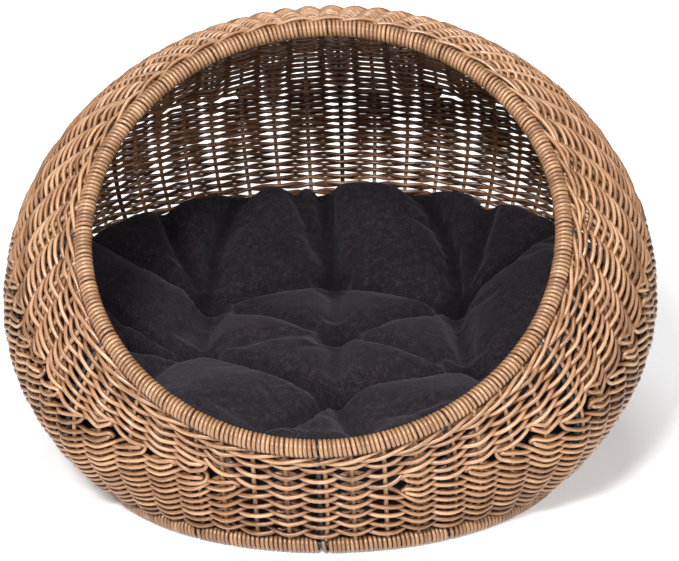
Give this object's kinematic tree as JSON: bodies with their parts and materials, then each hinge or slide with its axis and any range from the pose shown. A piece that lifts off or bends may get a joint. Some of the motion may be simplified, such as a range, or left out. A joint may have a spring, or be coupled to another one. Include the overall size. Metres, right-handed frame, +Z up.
{
  "type": "wicker pet bed basket",
  "caption": "Low ball-shaped wicker pet bed with a large oval mouth leaning back over the front, a coil-wrapped rim and foot ring, and a loose tufted cushion.",
  "frame": {"origin": "on the floor plane, under the middle of the outline's width and depth", "axes": "+Z up, the mouth faces -Y, +X is to the right of a person looking into the mouth"},
  "size_m": [0.5134, 0.4954, 0.3455],
  "materials": {
    "steel": "dark painted round bar",
    "rattan_stake": "honey rattan, satin",
    "rattan_wall": "honey rattan, paired rows",
    "rattan_wrap": "honey rattan, close coil",
    "fleece": "charcoal plush fleece"
  },
  "bodies": {
    "basket": {"base_ring": "steel", "opening_ring": "steel", "rib_01": "steel", "rib_02": "steel", "rib_03": "steel", "rib_04": "steel", "rib_05": "steel", "rib_06": "steel", "rib_07": "steel", "rib_08": "steel", "rib_09": "steel", "rib_10": "steel", "rib_11": "steel", "rib_12": "steel", "stake_01": "rattan_stake", "stake_02": "rattan_stake", "stake_03": "rattan_stake", "stake_04": "rattan_stake", "stake_05": "rattan_stake", "stake_06": "rattan_stake", "stake_07": "rattan_stake", "stake_08": "rattan_stake", "stake_09": "rattan_stake", "stake_10": "rattan_stake", "stake_11": "rattan_stake", "stake_12": "rattan_stake", "stake_13": "rattan_stake", "stake_14": "rattan_stake", "stake_15": "rattan_stake", "stake_16": "rattan_stake", "stake_17": "rattan_stake", "stake_18": "rattan_stake", "stake_19": "rattan_stake", "stake_20": "rattan_stake", "stake_21": "rattan_stake", "stake_22": "rattan_stake", "stake_23": "rattan_stake", "stake_24": "rattan_stake", "stake_25": "rattan_stake", "stake_26": "rattan_stake", "stake_27": "rattan_stake", "stake_28": "rattan_stake", "stake_29": "rattan_stake", "stake_30": "rattan_stake", "stake_31": "rattan_stake", "stake_32": "rattan_stake", "stake_33": "rattan_stake", "stake_34": "rattan_stake", "stake_35": "rattan_stake", "stake_36": "rattan_stake", "woven_shell": "rattan_wall", "rim_wrap": "rattan_wrap", "base_wrap": "rattan_wrap", "floor_bar_1": "steel", "floor_bar_2": "steel", "floor_bar_3": "steel", "floor_bar_4": "steel", "woven_floor": "rattan_wall"},
    "cushion": {"cushion": "fleece"}
  },
  "joints": [
    {"name": "cushion_lift", "type": "slide", "parent": "basket", "child": "cushion", "axis": [0, 0, 1], "range_m": [0, 0.03]}
  ]
}
